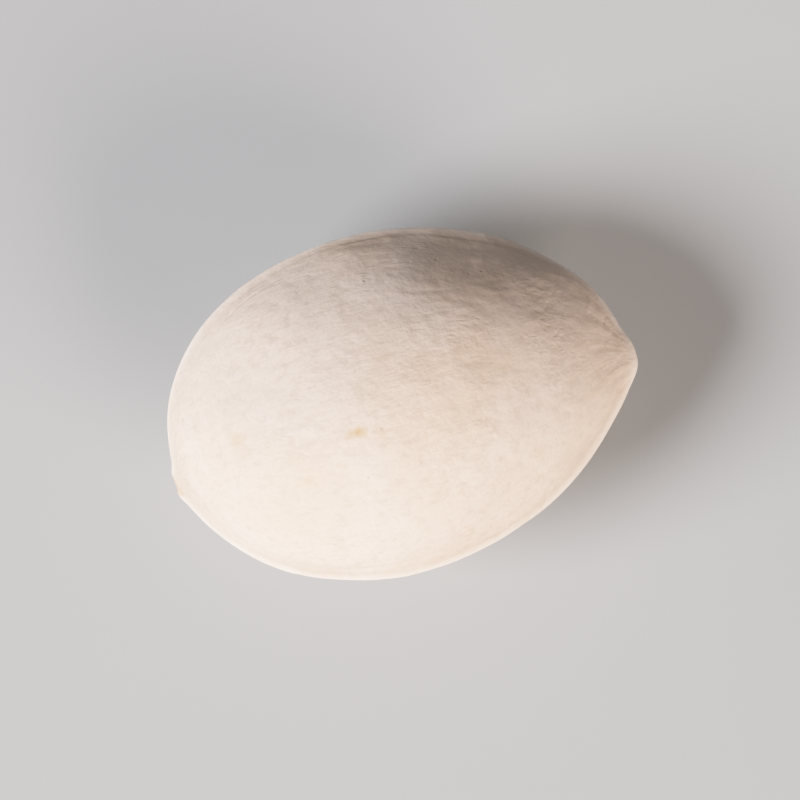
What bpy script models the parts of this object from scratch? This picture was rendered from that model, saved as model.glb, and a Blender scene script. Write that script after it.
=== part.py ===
"""A ginkgo nut in its shell, lying on one cheek.

One closed solid in metres, +Z up. The long axis is X, with the scar at the base at -X and the tip at +X. The keel, the
sharp rim where the two halves of the shell meet, lies level and runs round the nut through both ends.
"""

import math

import bmesh
import bpy
from mathutils import Vector, noise

# Driving dimensions, in metres.
LENGTH = 0.0250  # scar to tip
WIDTH = 0.0179  # keel to keel
THICKNESS = 0.0138  # cheek to cheek

# The outline seen from above, and those of the upper and lower cheeks seen edge on. Each follows s^base * (1 - s)^tip,
# with s from 0 at the base to 1 at the tip: 0.5 gives a round end, and 1 a pointed one.
OUTLINE_BASE, OUTLINE_TIP = 0.515, 0.585
UPPER_BASE, UPPER_TIP = 0.57, 0.80
LOWER_BASE, LOWER_TIP = 0.62, 0.80
LOPSIDED = 0.00108  # the body's middle line lies this far to +Y of the line from scar to tip
LOPSIDED_BASE, LOPSIDED_TIP = 40, 18  # how late that offset dies out towards each end
UPPER_SHARE = 0.515  # the upper cheek is a little fuller than the one it rests on

# The cross-section: 1 is an ellipse, and more pinches it to an edge at the keel.
KEEL_PINCH = 1.30

# The keel's raised crest, and the shallow groove beside it.
CREST_HEIGHT = 0.00026
CREST_SPREAD = 0.00038
CREST_ROUNDING = 0.00010
CREST_BASE_LOSS = 0.5  # how much of its height the crest loses by the scar
GROOVE_DEPTH = 0.00007
GROOVE_OFFSET = 0.00130
GROOVE_WIDTH = 0.00045

# The blunt nub at the tip and the low pad of the scar at the base.
NUB_LENGTH = 0.00024
NUB_HALF_WIDTH = 0.00085
NUB_HALF_THICKNESS = 0.00050
SCAR_HEIGHT = 0.00010
SCAR_HALF_WIDTH = 0.00085
SCAR_HALF_THICKNESS = 0.00055

# The shell isn't quite regular: soft swells and flats this high and this many to the nut's length.
SWELL_HEIGHT = 0.00011
SWELL_COUNT = 2.6

REST_DEPTH = 0.00014  # how much of the lower cheek is flattened where it rests
FACE_CUTS = 27  # cuts along each edge of the cube that the nut is blown up from
SHELL_COLOUR = (0.80, 0.69, 0.57, 1.0)


def clear_scene():
    for obj in list(bpy.data.objects):
        bpy.data.objects.remove(obj, do_unlink=True)


def shell_material():
    material = bpy.data.materials.new("nut_shell")
    material.use_nodes = True
    finish = material.node_tree.nodes["Principled BSDF"]
    finish.inputs["Base Color"].default_value = SHELL_COLOUR
    finish.inputs["Roughness"].default_value = 0.58
    finish.inputs["Metallic"].default_value = 0.0
    return material


def blown_cube():
    """A cube cut into a fine grid and blown up to a unit sphere. One line of its grid is the keel."""
    ball = bmesh.new()
    bmesh.ops.create_cube(ball, size=2.0)
    bmesh.ops.subdivide_edges(ball, edges=ball.edges[:], cuts=FACE_CUTS, use_grid_fill=True)
    for vertex in ball.verts:
        even = Vector(math.tan(value * math.pi / 4) for value in vertex.co)
        vertex.co = even.normalized()
    return ball


def profile(s, base, tip):
    """Half an outline at s, from 0 at the base to 1 at the tip, with 1 at its widest."""
    widest = base / (base + tip)
    return (s / widest) ** base * ((1 - s) / (1 - widest)) ** tip


def smooth_step(value, low, high):
    share = min(max((value - low) / (high - low), 0.0), 1.0)
    return share * share * (3 - 2 * share)


def body_point(direction):
    """The plain shell: an egg seen from above, an almond seen edge on, pinched to an edge at the keel."""
    s = min(max((1 + direction.x) / 2, 0.0), 1.0)
    around = math.hypot(direction.y, direction.z)
    across, up = (direction.y / around, direction.z / around) if around > 1e-6 else (1.0, 0.0)
    half_width = WIDTH / 2 * profile(s, OUTLINE_BASE, OUTLINE_TIP)
    if up > 0:
        cheek = THICKNESS * UPPER_SHARE * profile(s, UPPER_BASE, UPPER_TIP)
    else:
        cheek = THICKNESS * (1 - UPPER_SHARE) * profile(s, LOWER_BASE, LOWER_TIP)
    middle = LOPSIDED * (1 - abs(direction.x) ** (LOPSIDED_TIP if direction.x > 0 else LOPSIDED_BASE))
    return Vector(
        (
            LENGTH * (s - 0.5),
            middle + half_width * across,
            math.copysign(cheek * abs(up) ** KEEL_PINCH, up),
        )
    )


def keel_relief(point, direction):
    """The crest and the grooves beside it, measured outwards in the keel's plane."""
    outwards = Vector((direction.x / LENGTH, direction.y / WIDTH, 0))
    if outwards.length < 1e-6:
        return Vector((0, 0, 0))
    height = abs(point.z)
    off_crest = math.hypot(height, CREST_ROUNDING) - CREST_ROUNDING
    crest = CREST_HEIGHT * math.exp(-off_crest / CREST_SPREAD)
    crest *= 1 - CREST_BASE_LOSS * smooth_step(-direction.x, 0.7, 1.0)
    at_edge = smooth_step(outwards.length * WIDTH, 0.35, 0.75)
    towards_base = 1 - 0.6 * smooth_step(direction.x, -0.2, 0.7)
    groove = GROOVE_DEPTH * math.exp(-(((height - GROOVE_OFFSET) / GROOVE_WIDTH) ** 2))
    return outwards.normalized() * (crest * at_edge - groove * at_edge * towards_base)


def end_relief(point, direction):
    """How far the nub at the tip and the scar at the base stand out along X."""
    if direction.x > 0:
        off_nub = math.hypot(point.y / NUB_HALF_WIDTH, point.z / NUB_HALF_THICKNESS)
        return NUB_LENGTH * (1 - smooth_step(off_nub, 0.4, 2.2))
    off_scar = math.hypot(point.y / SCAR_HALF_WIDTH, point.z / SCAR_HALF_THICKNESS)
    return -SCAR_HEIGHT * (1 - smooth_step(off_scar, 0.5, 2.4))


def nut_point(direction):
    """Where a point of the unit sphere goes on the nut."""
    point = body_point(direction)
    point += keel_relief(point, direction)
    point.x += end_relief(point, direction)
    swell = SWELL_HEIGHT * noise.noise(direction * SWELL_COUNT)
    return point + direction * swell


def fit_to_size(nut):
    """Scales the nut so that its length, width and thickness are the driving ones."""
    lows, highs = corners(nut)
    sizes = highs - lows
    wanted = Vector((LENGTH, WIDTH, THICKNESS))
    bmesh.ops.scale(nut, vec=[wanted[i] / sizes[i] for i in range(3)], verts=nut.verts)


def corners(nut):
    lows = Vector(min(vertex.co[i] for vertex in nut.verts) for i in range(3))
    highs = Vector(max(vertex.co[i] for vertex in nut.verts) for i in range(3))
    return lows, highs


def flatten_rest(nut):
    """Presses flat the small spot that the nut rests on."""
    lows, _ = corners(nut)
    rest = lows.z + REST_DEPTH
    for vertex in nut.verts:
        vertex.co.z = max(vertex.co.z, rest)


def set_on_origin(nut):
    """Moves the nut so that the origin is under the middle of its box, at the height of the flat spot."""
    lows, highs = corners(nut)
    middle = (lows + highs) / 2
    bmesh.ops.translate(nut, vec=(-middle.x, -middle.y, -lows.z), verts=nut.verts)


def build_nut(collection):
    nut = blown_cube()
    for vertex in nut.verts:
        vertex.co = nut_point(vertex.co.copy())
    flatten_rest(nut)
    fit_to_size(nut)
    set_on_origin(nut)
    mesh = bpy.data.meshes.new("nut")
    nut.to_mesh(mesh)
    nut.free()
    mesh.shade_smooth()
    mesh.materials.append(shell_material())
    collection.objects.link(bpy.data.objects.new("nut", mesh))


def main():
    clear_scene()
    collection = bpy.data.collections.new("ginkgo_nut")
    bpy.context.scene.collection.children.link(collection)
    build_nut(collection)


main()
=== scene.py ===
import math
import random

import bmesh
import bpy
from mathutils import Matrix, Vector, kdtree, noise


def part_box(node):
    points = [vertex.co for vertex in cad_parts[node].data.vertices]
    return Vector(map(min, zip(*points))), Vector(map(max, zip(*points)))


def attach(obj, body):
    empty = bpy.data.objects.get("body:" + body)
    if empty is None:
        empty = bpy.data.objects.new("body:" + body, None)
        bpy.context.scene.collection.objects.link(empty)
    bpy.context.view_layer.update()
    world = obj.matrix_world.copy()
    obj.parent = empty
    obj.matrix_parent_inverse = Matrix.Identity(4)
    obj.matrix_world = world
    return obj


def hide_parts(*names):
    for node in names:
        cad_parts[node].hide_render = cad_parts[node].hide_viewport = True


# A ginkgo nut in its shell, lying on one cheek. +X runs from the scar at its base to its tip,
# and the keel, the raised rim between the two halves of the shell, lies level. Sizes are in metres.

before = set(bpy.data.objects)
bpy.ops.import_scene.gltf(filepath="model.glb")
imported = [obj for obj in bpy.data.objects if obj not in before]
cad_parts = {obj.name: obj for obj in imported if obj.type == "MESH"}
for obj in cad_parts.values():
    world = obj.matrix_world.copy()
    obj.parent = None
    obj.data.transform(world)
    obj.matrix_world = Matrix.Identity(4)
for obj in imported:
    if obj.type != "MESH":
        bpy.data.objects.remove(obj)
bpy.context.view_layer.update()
nutLow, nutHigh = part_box("nut")
nutSize = nutHigh - nutLow


def ease(value, low, high):
    share = min(max((value - low) / (high - low), 0.0), 1.0)
    return share * share * (3 - 2 * share)


def bell(value, middle, width):
    return math.exp(-(((value - middle) / width) ** 2))


def addNode(tree, kind, inputs, **settings):
    made = tree.nodes.new(kind)
    for name, value in settings.items():
        setattr(made, name, value)
    for name, value in inputs.items():
        if isinstance(value, bpy.types.NodeSocket):
            tree.links.new(value, made.inputs[name])
        else:
            made.inputs[name].default_value = value
    return made


def calc(tree, operation, first, second):
    return addNode(tree, "ShaderNodeMath", {0: first, 1: second}, operation=operation).outputs[0]


def times(tree, first, second):
    return calc(tree, "MULTIPLY", first, second)


def plus(tree, first, second):
    return calc(tree, "ADD", first, second)


def fadeFrom(tree, value, low, high, start=0.0, end=1.0):  # an eased step from start at low to end at high
    inputs = {"Value": value, "From Min": low, "From Max": high, "To Min": start, "To Max": end}
    return addNode(tree, "ShaderNodeMapRange", inputs, interpolation_type="SMOOTHSTEP").outputs[0]


def mixColour(tree, share, first, second):
    return addNode(tree, "ShaderNodeMix", {0: share, 6: first, 7: second}, data_type="RGBA").outputs[2]


def cloudy(tree, place, scale, detail=3.0, roughness=0.5, wander=0.0):
    inputs = {"Vector": place, "Scale": scale, "Detail": detail, "Roughness": roughness, "Distortion": wander}
    return addNode(tree, "ShaderNodeTexNoise", inputs).outputs["Fac"]


def stretched(tree, place, scale):
    return addNode(tree, "ShaderNodeMapping", {"Vector": place, "Scale": scale}).outputs[0]


def readLayer(tree, name, output="Fac"):
    return addNode(tree, "ShaderNodeAttribute", {}, attribute_name=name).outputs[output]


def newMaterial(name):
    material = bpy.data.materials.new(name)
    material.use_nodes = True
    return material, material.node_tree, material.node_tree.nodes["Principled BSDF"]


# The nut's form: an egg seen from above, an almond seen edge on.

nutForm = {
    "cuts": 126,  # cuts along each edge of the cube that is blown up
    "outlineBase": 0.515, "outlineTip": 0.585,  # 0.5 is a round end, 1 a pointed one
    "upperBase": 0.57, "upperTip": 0.80,
    "lowerBase": 0.62, "lowerTip": 0.80,
    "upperShare": 0.515,  # the upper cheek is the fuller one
    "lopsided": 0.00108,  # the body lies this far to +Y of the line from scar to tip
    "lopsidedBase": 40, "lopsidedTip": 18,
    "keelPinch": 1.30,
    "swellHeight": 0.00011, "swellCount": 2.6,
    "restDepth": 0.00014,  # how far the spot it rests on is pressed in
    "restSoftness": 0.000012,
}

keelForm = {
    "height": 0.00028, "spread": 0.00040, "fullness": 1.2,  # fuller is more of a cord, less of an edge
    "rounding": 0.00005,
    "baseLoss": 0.5,  # how much lower the crest is by the scar
    "unevenness": 0.10, "unevenCount": 6,
    "wander": 0.00009, "wanderCount": 2.3, "wanderWidth": 0.002,  # how far the crest strays up and down
    "grooveDepth": 0.00007, "grooveOff": 0.0013, "grooveWidth": 0.00045,
    "grooveLoss": 0.4,  # how much shallower the groove is by the tip
    "lineDepth": 0.000042, "lineOff": 0.00064, "lineWidth": 0.00014,  # a fine line just inside the crest
    "lineCount": 4,
    "seamDepth": 0.00004, "seamWidth": 0.00004, "seamCount": 9,
    "smoothWidth": 0.0006,  # the fine relief fades out this near the crest
}

endForm = {
    "nubLength": 0.00024, "nubWidth": 0.00085, "nubThickness": 0.00050,
    "scarHeight": 0.00014, "scarWidth": 0.00070, "scarThickness": 0.00050,
    "poreSpread": 0.00028, "poreRadius": 0.00010, "poreDepth": 0.00018,
    "dimpleDepth": 0.00006,
}


def profile(s, base, tip):  # half an outline at s, from 0 at the base to 1 at the tip
    widest = base / (base + tip)
    return (s / widest) ** base * ((1 - s) / (1 - widest)) ** tip


def alongAndAround(direction):
    s = min(max((1 + direction.x) / 2, 0.0), 1.0)
    around = math.hypot(direction.y, direction.z)
    if around < 1e-6:
        return s, 1.0, 0.0
    return s, direction.y / around, direction.z / around


def bodyPoint(direction):
    form = nutForm
    s, across, up = alongAndAround(direction)
    if up > 0:
        cheek = nutSize.z * form["upperShare"] * profile(s, form["upperBase"], form["upperTip"])
    else:
        cheek = nutSize.z * (1 - form["upperShare"]) * profile(s, form["lowerBase"], form["lowerTip"])
    halfWidth = nutSize.y / 2 * profile(s, form["outlineBase"], form["outlineTip"])
    lateness = form["lopsidedTip"] if direction.x > 0 else form["lopsidedBase"]
    middle = form["lopsided"] * (1 - abs(direction.x) ** lateness)
    height = math.copysign(cheek * abs(up) ** form["keelPinch"], up)
    return Vector((nutSize.x * (s - 0.5), middle + halfWidth * across, height))


def alongKeel(direction, count, layer, height=0):  # noise along the keel, not the same on both sides
    return noise.noise(Vector((direction.x * count, math.copysign(layer, direction.y), height)))


def keelRelief(point, direction):  # the crest, the seam along it, and the line and the groove beside it
    form = keelForm
    outwards = Vector((direction.x / nutSize.x, direction.y / nutSize.y, 0))
    if outwards.length < 1e-6:
        return Vector((0, 0, 0))
    off = abs(point.z)
    softOff = math.hypot(off, form["rounding"]) - form["rounding"]
    crest = form["height"] * (1 + form["unevenness"] * alongKeel(direction, form["unevenCount"], 7, 1))
    crest *= math.exp(-((softOff / form["spread"]) ** form["fullness"]))
    crest *= 1 - form["baseLoss"] * ease(-direction.x, 0.7, 1.0)
    broken = 0.55 + 0.9 * alongKeel(direction, form["seamCount"], 3)
    seam = form["seamDepth"] * bell(off, 0, form["seamWidth"]) * min(max(broken, 0.1), 1.0)
    groove = form["grooveDepth"] * bell(off, form["grooveOff"], form["grooveWidth"])
    groove *= 1 - form["grooveLoss"] * ease(direction.x, -0.2, 0.7)
    fine = 0.6 + 1.2 * alongKeel(direction, form["lineCount"], 5, direction.z * 3)
    line = form["lineDepth"] * bell(off, form["lineOff"], form["lineWidth"]) * min(max(fine, 0.0), 1.0)
    atEdge = ease(outwards.length * nutSize.y, 0.35, 0.75)
    lift = form["wander"] * alongKeel(direction, form["wanderCount"], 2, 4)
    lift *= bell(off, 0, form["wanderWidth"]) * atEdge
    return outwards.normalized() * (crest - seam - groove - line) * atEdge + Vector((0, 0, lift))


def endRelief(point, direction):  # the nub at the tip, and the scar with its two pores at the base
    form = endForm
    if direction.x > 0:
        offNub = math.hypot(point.y / form["nubWidth"], point.z / form["nubThickness"])
        return form["nubLength"] * (1 - ease(offNub, 0.4, 2.2))
    offScar = math.hypot(point.y / form["scarWidth"], point.z / form["scarThickness"])
    pad = form["scarHeight"] * (1 - ease(offScar, 0.7, 1.9))
    dimple = form["dimpleDepth"] * (1 - ease(offScar, 0.1, 0.8))
    return dimple + form["poreDepth"] * scarPores(point) - pad


def scarPores(point):
    return bell(math.hypot(abs(point.y) - endForm["poreSpread"], point.z), 0, endForm["poreRadius"])


def scarShade(point, direction):  # up to 0.5 on the scar, 1 in its pores
    if direction.x > 0:
        return 0.0
    offScar = math.hypot(point.y / endForm["scarWidth"], point.z / endForm["scarThickness"])
    offScar *= 1 + 0.5 * noise.noise(point * 2600)
    return 0.5 * (1 - ease(offScar, 0.4, 1.5)) + 0.5 * scarPores(point)


def nutPoint(direction):
    point = bodyPoint(direction)
    point += keelRelief(point, direction)
    point.x += endRelief(point, direction)
    return point + direction * nutForm["swellHeight"] * noise.noise(direction * nutForm["swellCount"])


# The shell's fine relief.

shellRelief = {
    "wave": 0.000024, "waveCount": 5, "waveLength": 2.6,  # low folds along the nut
    "crinkle": 0.000018, "crinkleAlong": 900, "crinkleAcross": 2300,  # short fine ones among them
    "crinkleTwist": 0.9, "twistScale": 500, "crinklePatch": 260,
    "dent": 0.000060, "dentScale": 210,
    "dimple": 0.000032, "dimpleScale": 620,
    "grit": 0.0000075, "gritScale": 2300, "porousOff": 0.0008, "porousWidth": 0.0006,  # coarser by the keel
    "tipRidge": 0.000040, "baseRidge": 0.000030, "ridgeCount": 5,  # folds that run together at both ends
    "tipRidgePlace": 0.96, "baseRidgePlace": 0.03, "ridgeSpread": 0.04,
    "fibreDrift": 0.06,
    "seed": 7,
}

creases = [  # fine folds beside the keel: which cheek and side, where along the nut, how far in, how deep
    {"cheek": 1, "side": -1, "start": 0.26, "end": 0.60, "off": 0.00150, "depth": 0.000035},
    {"cheek": 1, "side": 1, "start": 0.10, "end": 0.38, "off": 0.00165, "depth": 0.000030},
    {"cheek": -1, "side": 1, "start": 0.30, "end": 0.78, "off": 0.00170, "depth": 0.000060},
    {"cheek": -1, "side": -1, "start": 0.14, "end": 0.52, "off": 0.00150, "depth": 0.000055},
]

creaseForm = {
    "fade": 0.1, "wander": 0.00022, "wanderCount": 6, "width": 0.00016,
    "lipShare": 0.5, "lipOff": 0.00035, "lipWidth": 0.0003,
}

pits = {
    "count": 70, "smallest": 0.00009, "largest": 0.00024, "depth": 0.000028,
    "reach": 2, "slope": 0.8,  # both counted in a pit's radius
    "seed": 11,
}


def creaseRelief(s, across, up, off):
    form = creaseForm
    total = 0.0
    for crease in creases:
        if up * crease["cheek"] <= 0 or across * crease["side"] <= 0:
            continue
        place = Vector((s * form["wanderCount"], crease["off"] * 9000, crease["side"]))
        middle = crease["off"] + form["wander"] * noise.noise(place)
        reach = ease(s, crease["start"], crease["start"] + form["fade"])
        reach *= 1 - ease(s, crease["end"] - form["fade"], crease["end"])
        lip = bell(off, middle - form["lipOff"], form["lipWidth"])
        total -= crease["depth"] * reach * bell(off, middle, form["width"])
        total += form["lipShare"] * crease["depth"] * reach * lip
    return total


def shellHeight(point, s, across, up):
    form = shellRelief
    slim = (4 * s * (1 - s)) ** 0.5  # everything narrows towards the ends
    wavePlace = Vector((s * form["waveLength"] + 5, across * form["waveCount"], up * form["waveCount"]))
    ridgePlace = Vector((s * 3 + 9, across * form["ridgeCount"], up * form["ridgeCount"]))
    acrossPlace = point * form["crinkleAcross"]
    crinklePlace = Vector((point.x * form["crinkleAlong"], acrossPlace.y, acrossPlace.z))
    crinklePlace += form["crinkleTwist"] * noise.noise_vector(point * form["twistScale"])
    patch = ease(noise.noise(point * form["crinklePatch"]), -0.3, 0.35)  # smoother between the patches
    height = form["wave"] * slim * noise.noise(wavePlace)
    height += form["crinkle"] * (0.35 + 0.9 * patch) * noise.noise(crinklePlace)
    ridge = noise.noise(ridgePlace)
    height += form["tipRidge"] * bell(s, form["tipRidgePlace"], form["ridgeSpread"]) * ridge
    height += form["baseRidge"] * bell(s, form["baseRidgePlace"], form["ridgeSpread"]) * ridge
    height += form["dent"] * noise.noise(point * form["dentScale"])
    height += form["dimple"] * noise.noise(point * form["dimpleScale"])
    porous = bell(abs(point.z), form["porousOff"], form["porousWidth"])
    height += form["grit"] * (1 + 1.5 * porous) * noise.noise(point * form["gritScale"])
    return height


def sinkPits(nut):
    draw = random.Random(pits["seed"])
    tree = kdtree.KDTree(len(nut.verts))
    for vertex in nut.verts:
        tree.insert(vertex.co, vertex.index)
    tree.balance()
    nut.verts.ensure_lookup_table()
    for _ in range(pits["count"]):
        middle = nut.verts[draw.randrange(len(nut.verts))].co.copy()
        radius = draw.uniform(pits["smallest"], pits["largest"])
        depth = pits["depth"] * radius / pits["largest"]
        for _, index, distance in tree.find_range(middle, radius * pits["reach"]):
            vertex = nut.verts[index]
            vertex.co -= vertex.normal * depth * bell(distance, 0, radius * pits["slope"])


keelLevel = nutLow.z + nutSize.z * (1 - nutForm["upperShare"])

# Small stains, broad beige patches (a few partly painted shade) and darker spots, most of them painted shade:
# where on the nut (x and y seen from above, and which cheek), how wide and how strong. A patch below 0 is a
# paler place.

stains = [
    {"x": -0.00286, "y": -0.00096, "cheek": 1, "radius": 0.00030, "strength": 0.66},
    {"x": -0.00234, "y": -0.00111, "cheek": 1, "radius": 0.00034, "strength": 0.64},
    {"x": -0.0087, "y": 0.0003, "cheek": 1, "radius": 0.00042, "strength": 0.45},
    {"x": -0.0056, "y": -0.0027, "cheek": 1, "radius": 0.00030, "strength": 0.22},
    {"x": -0.0014, "y": -0.0014, "cheek": 1, "radius": 0.00030, "strength": 0.18},
    {"x": 0.0058, "y": 0.0002, "cheek": 1, "radius": 0.00040, "strength": 0.22},
    {"x": 0.0062, "y": -0.0046, "cheek": 1, "radius": 0.00042, "strength": 0.22},
    {"x": -0.0060, "y": 0.0068, "cheek": -1, "radius": 0.0013, "strength": 0.40},
    {"x": 0.0030, "y": -0.0058, "cheek": -1, "radius": 0.0010, "strength": 0.30},
]

# The two beige patches on the upper cheek by the keel towards the tip are partly painted shade.
beigeAndShadePatches = [
    {"x": 0.0014, "y": 0.0002, "cheek": 1, "radius": 0.0041, "strength": 0.80},
    {"x": -0.0060, "y": -0.0045, "cheek": 1, "radius": 0.0034, "strength": 0.55},
    {"x": 0.0004, "y": -0.0052, "cheek": 1, "radius": 0.0030, "strength": 0.50},
    {"x": 0.0058, "y": 0.0054, "cheek": 1, "radius": 0.0032, "strength": 0.85},
    {"x": 0.0002, "y": 0.0084, "cheek": 1, "radius": 0.0020, "strength": 0.50},
    {"x": 0.0066, "y": -0.0026, "cheek": 1, "radius": 0.0026, "strength": -0.60},
    {"x": -0.0046, "y": 0.0020, "cheek": 1, "radius": 0.0026, "strength": -0.60},
    {"x": -0.0035, "y": 0.0020, "cheek": -1, "radius": 0.0050, "strength": 0.75},
    {"x": 0.0060, "y": -0.0020, "cheek": -1, "radius": 0.0035, "strength": 0.60},
]

# Painted shade: the first three darken the upper cheek by the keel towards the tip and along its rim; the
# last is a darker place on the lower cheek.
shadeAndGrimeSpots = [
    {"x": 0.0056, "y": 0.0066, "cheek": 1, "radius": 0.0025, "strength": 0.80},
    {"x": 0.0084, "y": 0.0048, "cheek": 1, "radius": 0.0020, "strength": 0.50},
    {"x": 0.0008, "y": 0.0086, "cheek": 1, "radius": 0.0018, "strength": 0.50},
    {"x": -0.0030, "y": -0.0076, "cheek": -1, "radius": 0.0024, "strength": 0.35},
]

spotEdge = {"core": 0.3, "rim": 1.3, "ragged": 0.7, "stainRag": 2200, "patchRag": 260, "shadeGrimeRag": 420}

# Low swells and hollows that keep the cheeks from being quite regular. They fade out between these
# two distances from the keel, in millimetres.

swellFade = (0.3, 3.0)

swells = [
    {"x": 0.0042, "y": 0.0038, "cheek": 1, "radius": 0.0025, "height": 0.00022},
    {"x": 0.0050, "y": 0.0071, "cheek": 1, "radius": 0.0022, "height": -0.00027},
    {"x": 0.0010, "y": 0.0045, "cheek": 1, "radius": 0.0021, "height": 0.00010},
    {"x": -0.0077, "y": 0.0024, "cheek": 1, "radius": 0.0032, "height": -0.00018},
    {"x": 0.0078, "y": -0.0028, "cheek": 1, "radius": 0.0026, "height": 0.00014},
    {"x": -0.0052, "y": 0.0030, "cheek": -1, "radius": 0.0030, "height": 0.00014},
    {"x": 0.0050, "y": -0.0036, "cheek": -1, "radius": 0.0028, "height": 0.00012},
]


def howFar(spot, point):  # from a spot on one cheek, counted in its radius
    if (point.z - keelLevel) * spot["cheek"] <= 0:
        return 99.0
    return math.hypot(point.x - spot["x"], point.y - spot["y"]) / spot["radius"]


def spotted(spots, point, ragScale):  # full within a spot's core, gone at its rim, with a ragged outline
    total = 0.0
    for spot in spots:
        distance = howFar(spot, point)
        distance *= 1 + spotEdge["ragged"] * noise.noise(point * ragScale)
        total += spot["strength"] * (1 - ease(distance, spotEdge["core"], spotEdge["rim"]))
    return min(total, 1.0)


def blownCube(cuts):
    ball = bmesh.new()
    bmesh.ops.create_cube(ball, size=2.0)
    bmesh.ops.subdivide_edges(ball, edges=ball.edges[:], cuts=cuts, use_grid_fill=True)
    for vertex in ball.verts:
        vertex.co = Vector(math.tan(value * math.pi / 4) for value in vertex.co).normalized()
    return ball


def corners(nut):
    lows = Vector(min(vertex.co[i] for vertex in nut.verts) for i in range(3))
    highs = Vector(max(vertex.co[i] for vertex in nut.verts) for i in range(3))
    return lows, highs


def flattenRest(nut):  # presses flat the small spot it rests on, with a soft edge
    lows, _ = corners(nut)
    softness = nutForm["restSoftness"]
    rest = lows.z + nutForm["restDepth"]
    for vertex in nut.verts:
        over = (vertex.co.z - rest) / softness
        if over < 20:  # higher up nothing moves
            vertex.co.z = rest + softness * math.log1p(math.exp(over))


def fitToCad(nut):
    lows, highs = corners(nut)
    sizes = highs - lows
    bmesh.ops.translate(nut, vec=-lows, verts=nut.verts)
    bmesh.ops.scale(nut, vec=[nutSize[i] / sizes[i] for i in range(3)], verts=nut.verts)
    bmesh.ops.translate(nut, vec=nutLow, verts=nut.verts)


def raiseSwells(nut, keelOff):
    nut.normal_update()
    for vertex in nut.verts:
        height = sum(swell["height"] * bell(howFar(swell, vertex.co), 0, 1) for swell in swells)
        vertex.co += vertex.normal * height * ease(vertex[keelOff], *swellFade)


def buildNut():
    noise.seed_set(shellRelief["seed"])  # the crinkles twist the same way each run
    nut = blownCube(nutForm["cuts"])
    grain = nut.verts.layers.float_vector.new("grain")
    keelOff = nut.verts.layers.float.new("keelOff")
    stain = nut.verts.layers.float.new("stain")
    beige = nut.verts.layers.float.new("beige")
    shadeAndGrime = nut.verts.layers.float.new("shadeAndGrime")
    scar = nut.verts.layers.float.new("scar")
    directions = [vertex.co.copy() for vertex in nut.verts]
    for vertex, direction in zip(nut.verts, directions):
        vertex.co = nutPoint(direction)
    nut.normal_update()
    for vertex, direction in zip(nut.verts, directions):
        s, across, up = alongAndAround(direction)
        off = abs(bodyPoint(direction).z)
        drift = shellRelief["fibreDrift"] * noise.noise(Vector((s * 2.5, across * 2, up * 2)))
        vertex[grain] = Vector((s, across + drift * up, up - drift * across))  # the fibres wander
        vertex[keelOff] = off * 1000  # millimetres
        vertex[scar] = scarShade(bodyPoint(direction), direction)
        height = shellHeight(vertex.co, s, across, up) + creaseRelief(s, across, up, off)
        height *= ease(off, 0.0, keelForm["smoothWidth"])
        vertex.co += vertex.normal * height
    nut.normal_update()
    sinkPits(nut)
    fitToCad(nut)
    raiseSwells(nut, keelOff)
    flattenRest(nut)
    fitToCad(nut)
    for vertex in nut.verts:
        vertex[stain] = spotted(stains, vertex.co, spotEdge["stainRag"])
        vertex[beige] = spotted(beigeAndShadePatches, vertex.co, spotEdge["patchRag"])
        vertex[shadeAndGrime] = spotted(shadeAndGrimeSpots, vertex.co, spotEdge["shadeGrimeRag"])
    mesh = bpy.data.meshes.new("shell")
    nut.to_mesh(mesh)
    nut.free()
    mesh.shade_smooth()
    piece = bpy.data.objects.new("shell", mesh)
    bpy.context.scene.collection.objects.link(piece)
    return piece


shellFinish = {
    "cream": (0.825, 0.705, 0.605, 1), "beige": (0.755, 0.58, 0.445, 1), "pale": (0.86, 0.775, 0.70, 1),
    "tan": (0.55, 0.38, 0.245, 1), "crest": (0.90, 0.82, 0.735, 1), "seam": (0.38, 0.26, 0.17, 1),
    "dustAndShade": (0.60, 0.485, 0.385, 1), "pore": (0.36, 0.25, 0.17, 1), "stain": (0.62, 0.41, 0.21, 1),
    "roughness": 0.78, "specular": 0.2,
    "bumpDepth": 0.00006, "bumpStrength": 0.95,
}

shellGrain = {  # how fine each pattern is
    "blotch": 110, "mottle": 560, "lump": 1500, "chalk": 5200,
    "fold": (1100, 3600, 3600), "foldPatch": 260, "fibre": (3, 26, 26),
    "pore": 920, "fleck": 310,
}

shellShare = {  # how strongly each shows in the colour
    "blotch": 0.35, "pale": 0.4, "lump": 0.34, "fibre": 0.07, "chalk": 0.28, "fold": 0.32, "fleck": 0.16,
    "tip": 0.55, "base": 0.3, "crest": 0.75, "seam": 0.5, "beside": 0.42, "besideGrime": 0.6,
    "pore": 0.30, "scar": 0.65, "scarPore": 0.85,
}

shellRise = {"fold": 0.5, "mottle": 0.7, "lump": 0.6, "chalk": 0.2, "pore": 0.3}  # and in the relief


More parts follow.
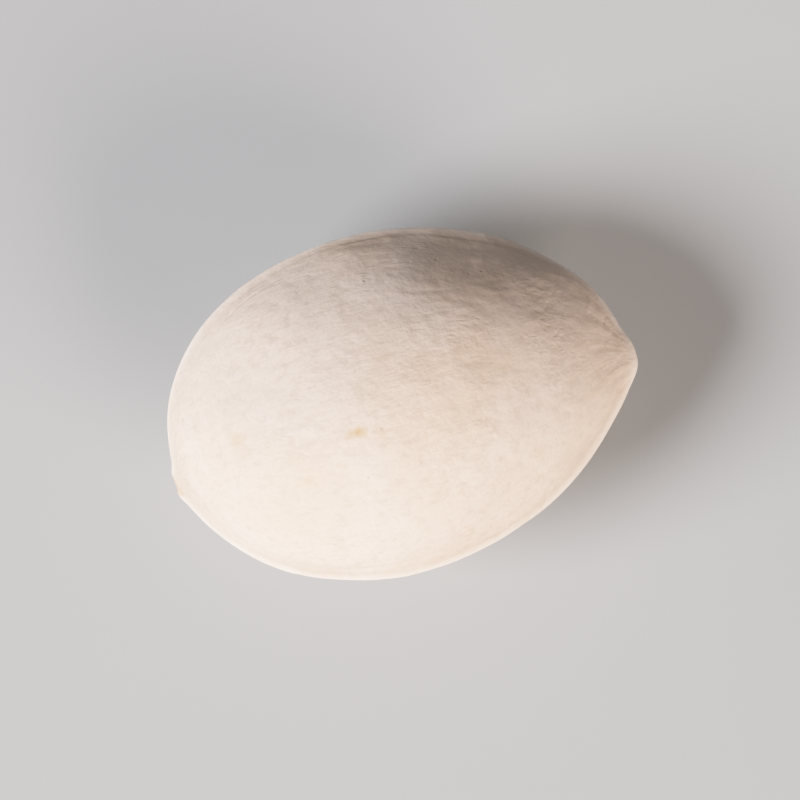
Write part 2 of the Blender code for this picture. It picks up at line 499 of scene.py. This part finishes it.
def shellPatterns(tree):
    size = shellGrain
    place = addNode(tree, "ShaderNodeTexCoord", {}).outputs["Object"]
    grain = readLayer(tree, "grain", "Vector")
    fold = cloudy(tree, stretched(tree, place, size["fold"]), 1.0, 1.0, 0.4, 0.8)
    folded = fadeFrom(tree, cloudy(tree, place, size["foldPatch"], 2.0), 0.35, 0.62, 0.3, 1.0)
    cells = addNode(tree, "ShaderNodeTexVoronoi", {"Vector": place, "Scale": size["pore"]})
    spots = addNode(tree, "ShaderNodeTexVoronoi", {"Vector": place, "Scale": size["fleck"]})
    mottle = cloudy(tree, place, size["mottle"], 4.0, 0.6)
    ragged = plus(tree, spots.outputs["Distance"], times(tree, mottle, 0.5))
    return {
        "along": addNode(tree, "ShaderNodeSeparateXYZ", {0: grain}).outputs["X"],
        "streak": cloudy(tree, stretched(tree, grain, size["fibre"]), 1.0, 3.0, 0.55),
        "fold": fold, "folded": folded,
        "blotch": cloudy(tree, place, size["blotch"], 3.0, 0.5),
        "mottle": mottle,
        "lump": cloudy(tree, place, size["lump"], 3.0, 0.6),
        "chalk": cloudy(tree, place, size["chalk"], 2.0, 0.5),
        "pore": times(tree, fadeFrom(tree, cells.outputs["Distance"], 0.04, 0.12, 1.0, 0.0),
                      fadeFrom(tree, cells.outputs["Color"], 0.65, 0.80)),
        "fleck": times(tree, fadeFrom(tree, ragged, 0.32, 0.46, 1.0, 0.0),
                       fadeFrom(tree, spots.outputs["Color"], 0.62, 0.72)),
    }


def shellColour(tree, pattern):
    look, share = shellFinish, shellShare
    along, streak, mottle = pattern["along"], pattern["streak"], pattern["mottle"]
    keelOff = readLayer(tree, "keelOff")  # millimetres

    cloud = fadeFrom(tree, pattern["blotch"], 0.35, 0.65, 0.0, share["blotch"])
    # The beige patches, partly painted shade on the upper cheek by the keel towards the tip.
    beigeAndShadePatched = times(tree, readLayer(tree, "beige"), fadeFrom(tree, mottle, 0.3, 0.7, 0.4, 0.85))
    colour = mixColour(tree, plus(tree, cloud, beigeAndShadePatched), look["cream"], look["beige"])
    colour = mixColour(tree, fadeFrom(tree, mottle, 0.45, 0.75, 0.0, share["pale"]), colour, look["pale"])
    # Darker in the hollows of the lump, chalk and fold relief: dust and painted shade.
    hollowDustAndShade = fadeFrom(tree, pattern["lump"], 0.30, 0.50, share["lump"], 0.0)
    colour = mixColour(tree, hollowDustAndShade, colour, look["dustAndShade"])
    colour = mixColour(tree, fadeFrom(tree, streak, 0.5, 0.75, 0.0, share["fibre"]), colour, look["tan"])
    hollowDustAndShade = fadeFrom(tree, pattern["chalk"], 0.25, 0.50, share["chalk"], 0.0)
    colour = mixColour(tree, hollowDustAndShade, colour, look["dustAndShade"])
    hollowDustAndShade = times(tree, fadeFrom(tree, pattern["fold"], 0.30, 0.52, share["fold"], 0.0), pattern["folded"])
    colour = mixColour(tree, hollowDustAndShade, colour, look["dustAndShade"])
    colour = mixColour(tree, times(tree, pattern["fleck"], share["fleck"]), colour, look["tan"])

    # Painted shade on the upper cheek by the keel towards the tip, from the darker spots listed above.
    shadedAndGrimy = times(tree, readLayer(tree, "shadeAndGrime"), fadeFrom(tree, mottle, 0.3, 0.7, 0.5, 1.0))
    colour = mixColour(tree, shadedAndGrimy, colour, look["dustAndShade"])

    nearTip = times(tree, fadeFrom(tree, along, 0.84, 1.0),
                    fadeFrom(tree, streak, 0.35, 0.65, 0.15, share["tip"]))
    nearScar = times(tree, fadeFrom(tree, along, 0.0, 0.06, 1.0, 0.0),
                     fadeFrom(tree, streak, 0.4, 0.6, 0.05, share["base"]))
    colour = mixColour(tree, plus(tree, nearTip, nearScar), colour, look["tan"])

    crest = times(tree, fadeFrom(tree, keelOff, 0.15, 0.5, share["crest"], 0.0),
                  fadeFrom(tree, mottle, 0.3, 0.6, 0.5, 1.0))
    colour = mixColour(tree, crest, colour, look["crest"])
    seam = times(tree, fadeFrom(tree, keelOff, 0.01, 0.06, 1.0, 0.0),
                 fadeFrom(tree, streak, 0.4, 0.62, 0.0, share["seam"]))
    colour = mixColour(tree, seam, colour, look["seam"])
    # A band of painted shade just inside the crest, darker where the darker spots lie.
    beside = times(tree, fadeFrom(tree, keelOff, 0.4, 0.62), fadeFrom(tree, keelOff, 0.7, 1.8, 1.0, 0.0))
    besideShadeStrength = fadeFrom(tree, pattern["blotch"], 0.35, 0.6, 0.12, share["beside"])
    besideShadeStrength = plus(tree, besideShadeStrength, times(tree, readLayer(tree, "shadeAndGrime"), share["besideGrime"]))
    colour = mixColour(tree, times(tree, beside, besideShadeStrength), colour, look["dustAndShade"])

    colour = mixColour(tree, times(tree, pattern["pore"], share["pore"]), colour, look["pore"])
    scar = readLayer(tree, "scar")
    colour = mixColour(tree, fadeFrom(tree, scar, 0.0, 0.5, 0.0, share["scar"]), colour, look["tan"])
    colour = mixColour(tree, fadeFrom(tree, scar, 0.55, 0.95, 0.0, share["scarPore"]), colour, look["seam"])
    stained = times(tree, readLayer(tree, "stain"), fadeFrom(tree, mottle, 0.3, 0.6, 0.4, 1.0))
    return mixColour(tree, stained, colour, look["stain"])


def shellBump(tree, pattern):
    rise = shellRise
    height = times(tree, times(tree, pattern["fold"], pattern["folded"]), rise["fold"])
    for name in ["mottle", "lump", "chalk"]:
        height = plus(tree, height, times(tree, pattern[name], rise[name]))
    height = calc(tree, "SUBTRACT", height, times(tree, pattern["pore"], rise["pore"]))
    inputs = {"Height": height, "Distance": shellFinish["bumpDepth"], "Strength": shellFinish["bumpStrength"]}
    return addNode(tree, "ShaderNodeBump", inputs).outputs[0]


def shellMaterial():
    look = shellFinish
    material, tree, finish = newMaterial("shellFinish")
    pattern = shellPatterns(tree)
    tree.links.new(shellColour(tree, pattern), finish.inputs["Base Color"])
    tree.links.new(shellBump(tree, pattern), finish.inputs["Normal"])
    dull = look["roughness"]
    roughness = fadeFrom(tree, pattern["mottle"], 0.3, 0.7, dull - 0.06, dull + 0.08)
    tree.links.new(roughness, finish.inputs["Roughness"])
    finish.inputs["Specular IOR Level"].default_value = look["specular"]
    return material


shell = buildNut()
shell.data.materials.append(shellMaterial())
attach(shell, "root")
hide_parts("nut")
print("shell:", len(shell.data.vertices), "vertices")


floorLook = {
    "radius": 1.6, "sides": 96, "drop": 0.00002,
    "colour": (0.39, 0.435, 0.455, 1), "roughness": 0.75, "wornScale": 40,
}


def buildFloor():
    disc = bmesh.new()
    bmesh.ops.create_circle(disc, cap_ends=True, segments=floorLook["sides"], radius=floorLook["radius"])
    bmesh.ops.translate(disc, vec=(0, 0, nutLow.z - floorLook["drop"]), verts=disc.verts)
    mesh = bpy.data.meshes.new("floor")
    disc.to_mesh(mesh)
    disc.free()
    material, tree, finish = newMaterial("floorPaint")
    place = addNode(tree, "ShaderNodeTexCoord", {}).outputs["Object"]
    worn = cloudy(tree, place, floorLook["wornScale"], 4.0)
    dull = floorLook["roughness"]
    roughness = fadeFrom(tree, worn, 0.3, 0.7, dull - 0.05, dull + 0.05)
    tree.links.new(roughness, finish.inputs["Roughness"])
    finish.inputs["Base Color"].default_value = floorLook["colour"]
    mesh.materials.append(material)
    floor = bpy.data.objects.new("floor", mesh)
    bpy.context.scene.collection.objects.link(floor)
    return floor


buildFloor()
print("floor")


# Two round soft lamps, low on the left and lower right, and a dim warm room.

lightSetup = {
    "distance": 0.9,
    "keyLamp": {"azimuth": 183, "elevation": 37, "size": 0.5, "power": 21.8, "colour": (1.0, 0.895, 0.885)},
    "sideLamp": {"azimuth": 293, "elevation": 24, "size": 0.7, "power": 16.0, "colour": (1.0, 0.80, 0.71)},
    "roomColour": (1.0, 0.86, 0.80, 1), "roomStrength": 0.07,
}


def hangLamp(name):
    setup = lightSetup[name]
    lamp = bpy.data.lights.new(name, "AREA")
    lamp.shape = "DISK"
    lamp.size = setup["size"]
    lamp.energy = setup["power"]
    lamp.color = setup["colour"]
    turn, rise = math.radians(setup["azimuth"]), math.radians(setup["elevation"])
    towards = Vector((math.cos(turn) * math.cos(rise), math.sin(turn) * math.cos(rise), math.sin(rise)))
    hung = bpy.data.objects.new(name, lamp)
    hung.location = towards * lightSetup["distance"]
    hung.rotation_euler = towards.to_track_quat("Z", "Y").to_euler()
    bpy.context.scene.collection.objects.link(hung)


def buildLights():
    hangLamp("keyLamp")
    hangLamp("sideLamp")
    world = bpy.data.worlds.new("room")
    world.use_nodes = True
    world.node_tree.nodes["Background"].inputs["Color"].default_value = lightSetup["roomColour"]
    world.node_tree.nodes["Background"].inputs["Strength"].default_value = lightSetup["roomStrength"]
    bpy.context.scene.world = world


buildLights()
print("lights")


# The camera looks straight down, turned so that the tip points up to the right.

cameraSetup = {"height": 0.5, "nearest": 0.01, "roll": -15.9, "nutShare": 0.60, "sensor": 36.0}


def buildCamera():
    setup = cameraSetup
    eye = bpy.data.cameras.new("camera")
    eye.sensor_width = setup["sensor"]
    eye.lens = setup["sensor"] * setup["height"] / (nutSize.x / setup["nutShare"])
    eye.clip_start = setup["nearest"]
    camera = bpy.data.objects.new("camera", eye)
    middle = (nutLow + nutHigh) / 2
    camera.location = middle + Vector((0, 0, setup["height"]))
    camera.rotation_euler = (0, 0, math.radians(setup["roll"]))
    bpy.context.scene.collection.objects.link(camera)
    bpy.context.scene.camera = camera


buildCamera()
print("camera")


# Like film, the view keeps its mid tones and rolls bright ones off softly, short of white.

toneSetup = {"brightest": 2.5, "steps": 8}


def softenHighlights():
    view = bpy.context.scene.view_settings
    view.view_transform = "Standard"
    view.use_curve_mapping = True
    brightest, steps = toneSetup["brightest"], toneSetup["steps"]
    view.curve_mapping.white_level = (brightest, brightest, brightest)
    curve = view.curve_mapping.curves[3]
    for step in range(1, steps):
        curve.points.new(step / steps, 1 - math.exp(-brightest * step / steps))
    curve.points[-1].location = (1, 1 - math.exp(-brightest))
    view.curve_mapping.update()


softenHighlights()
print("tones")
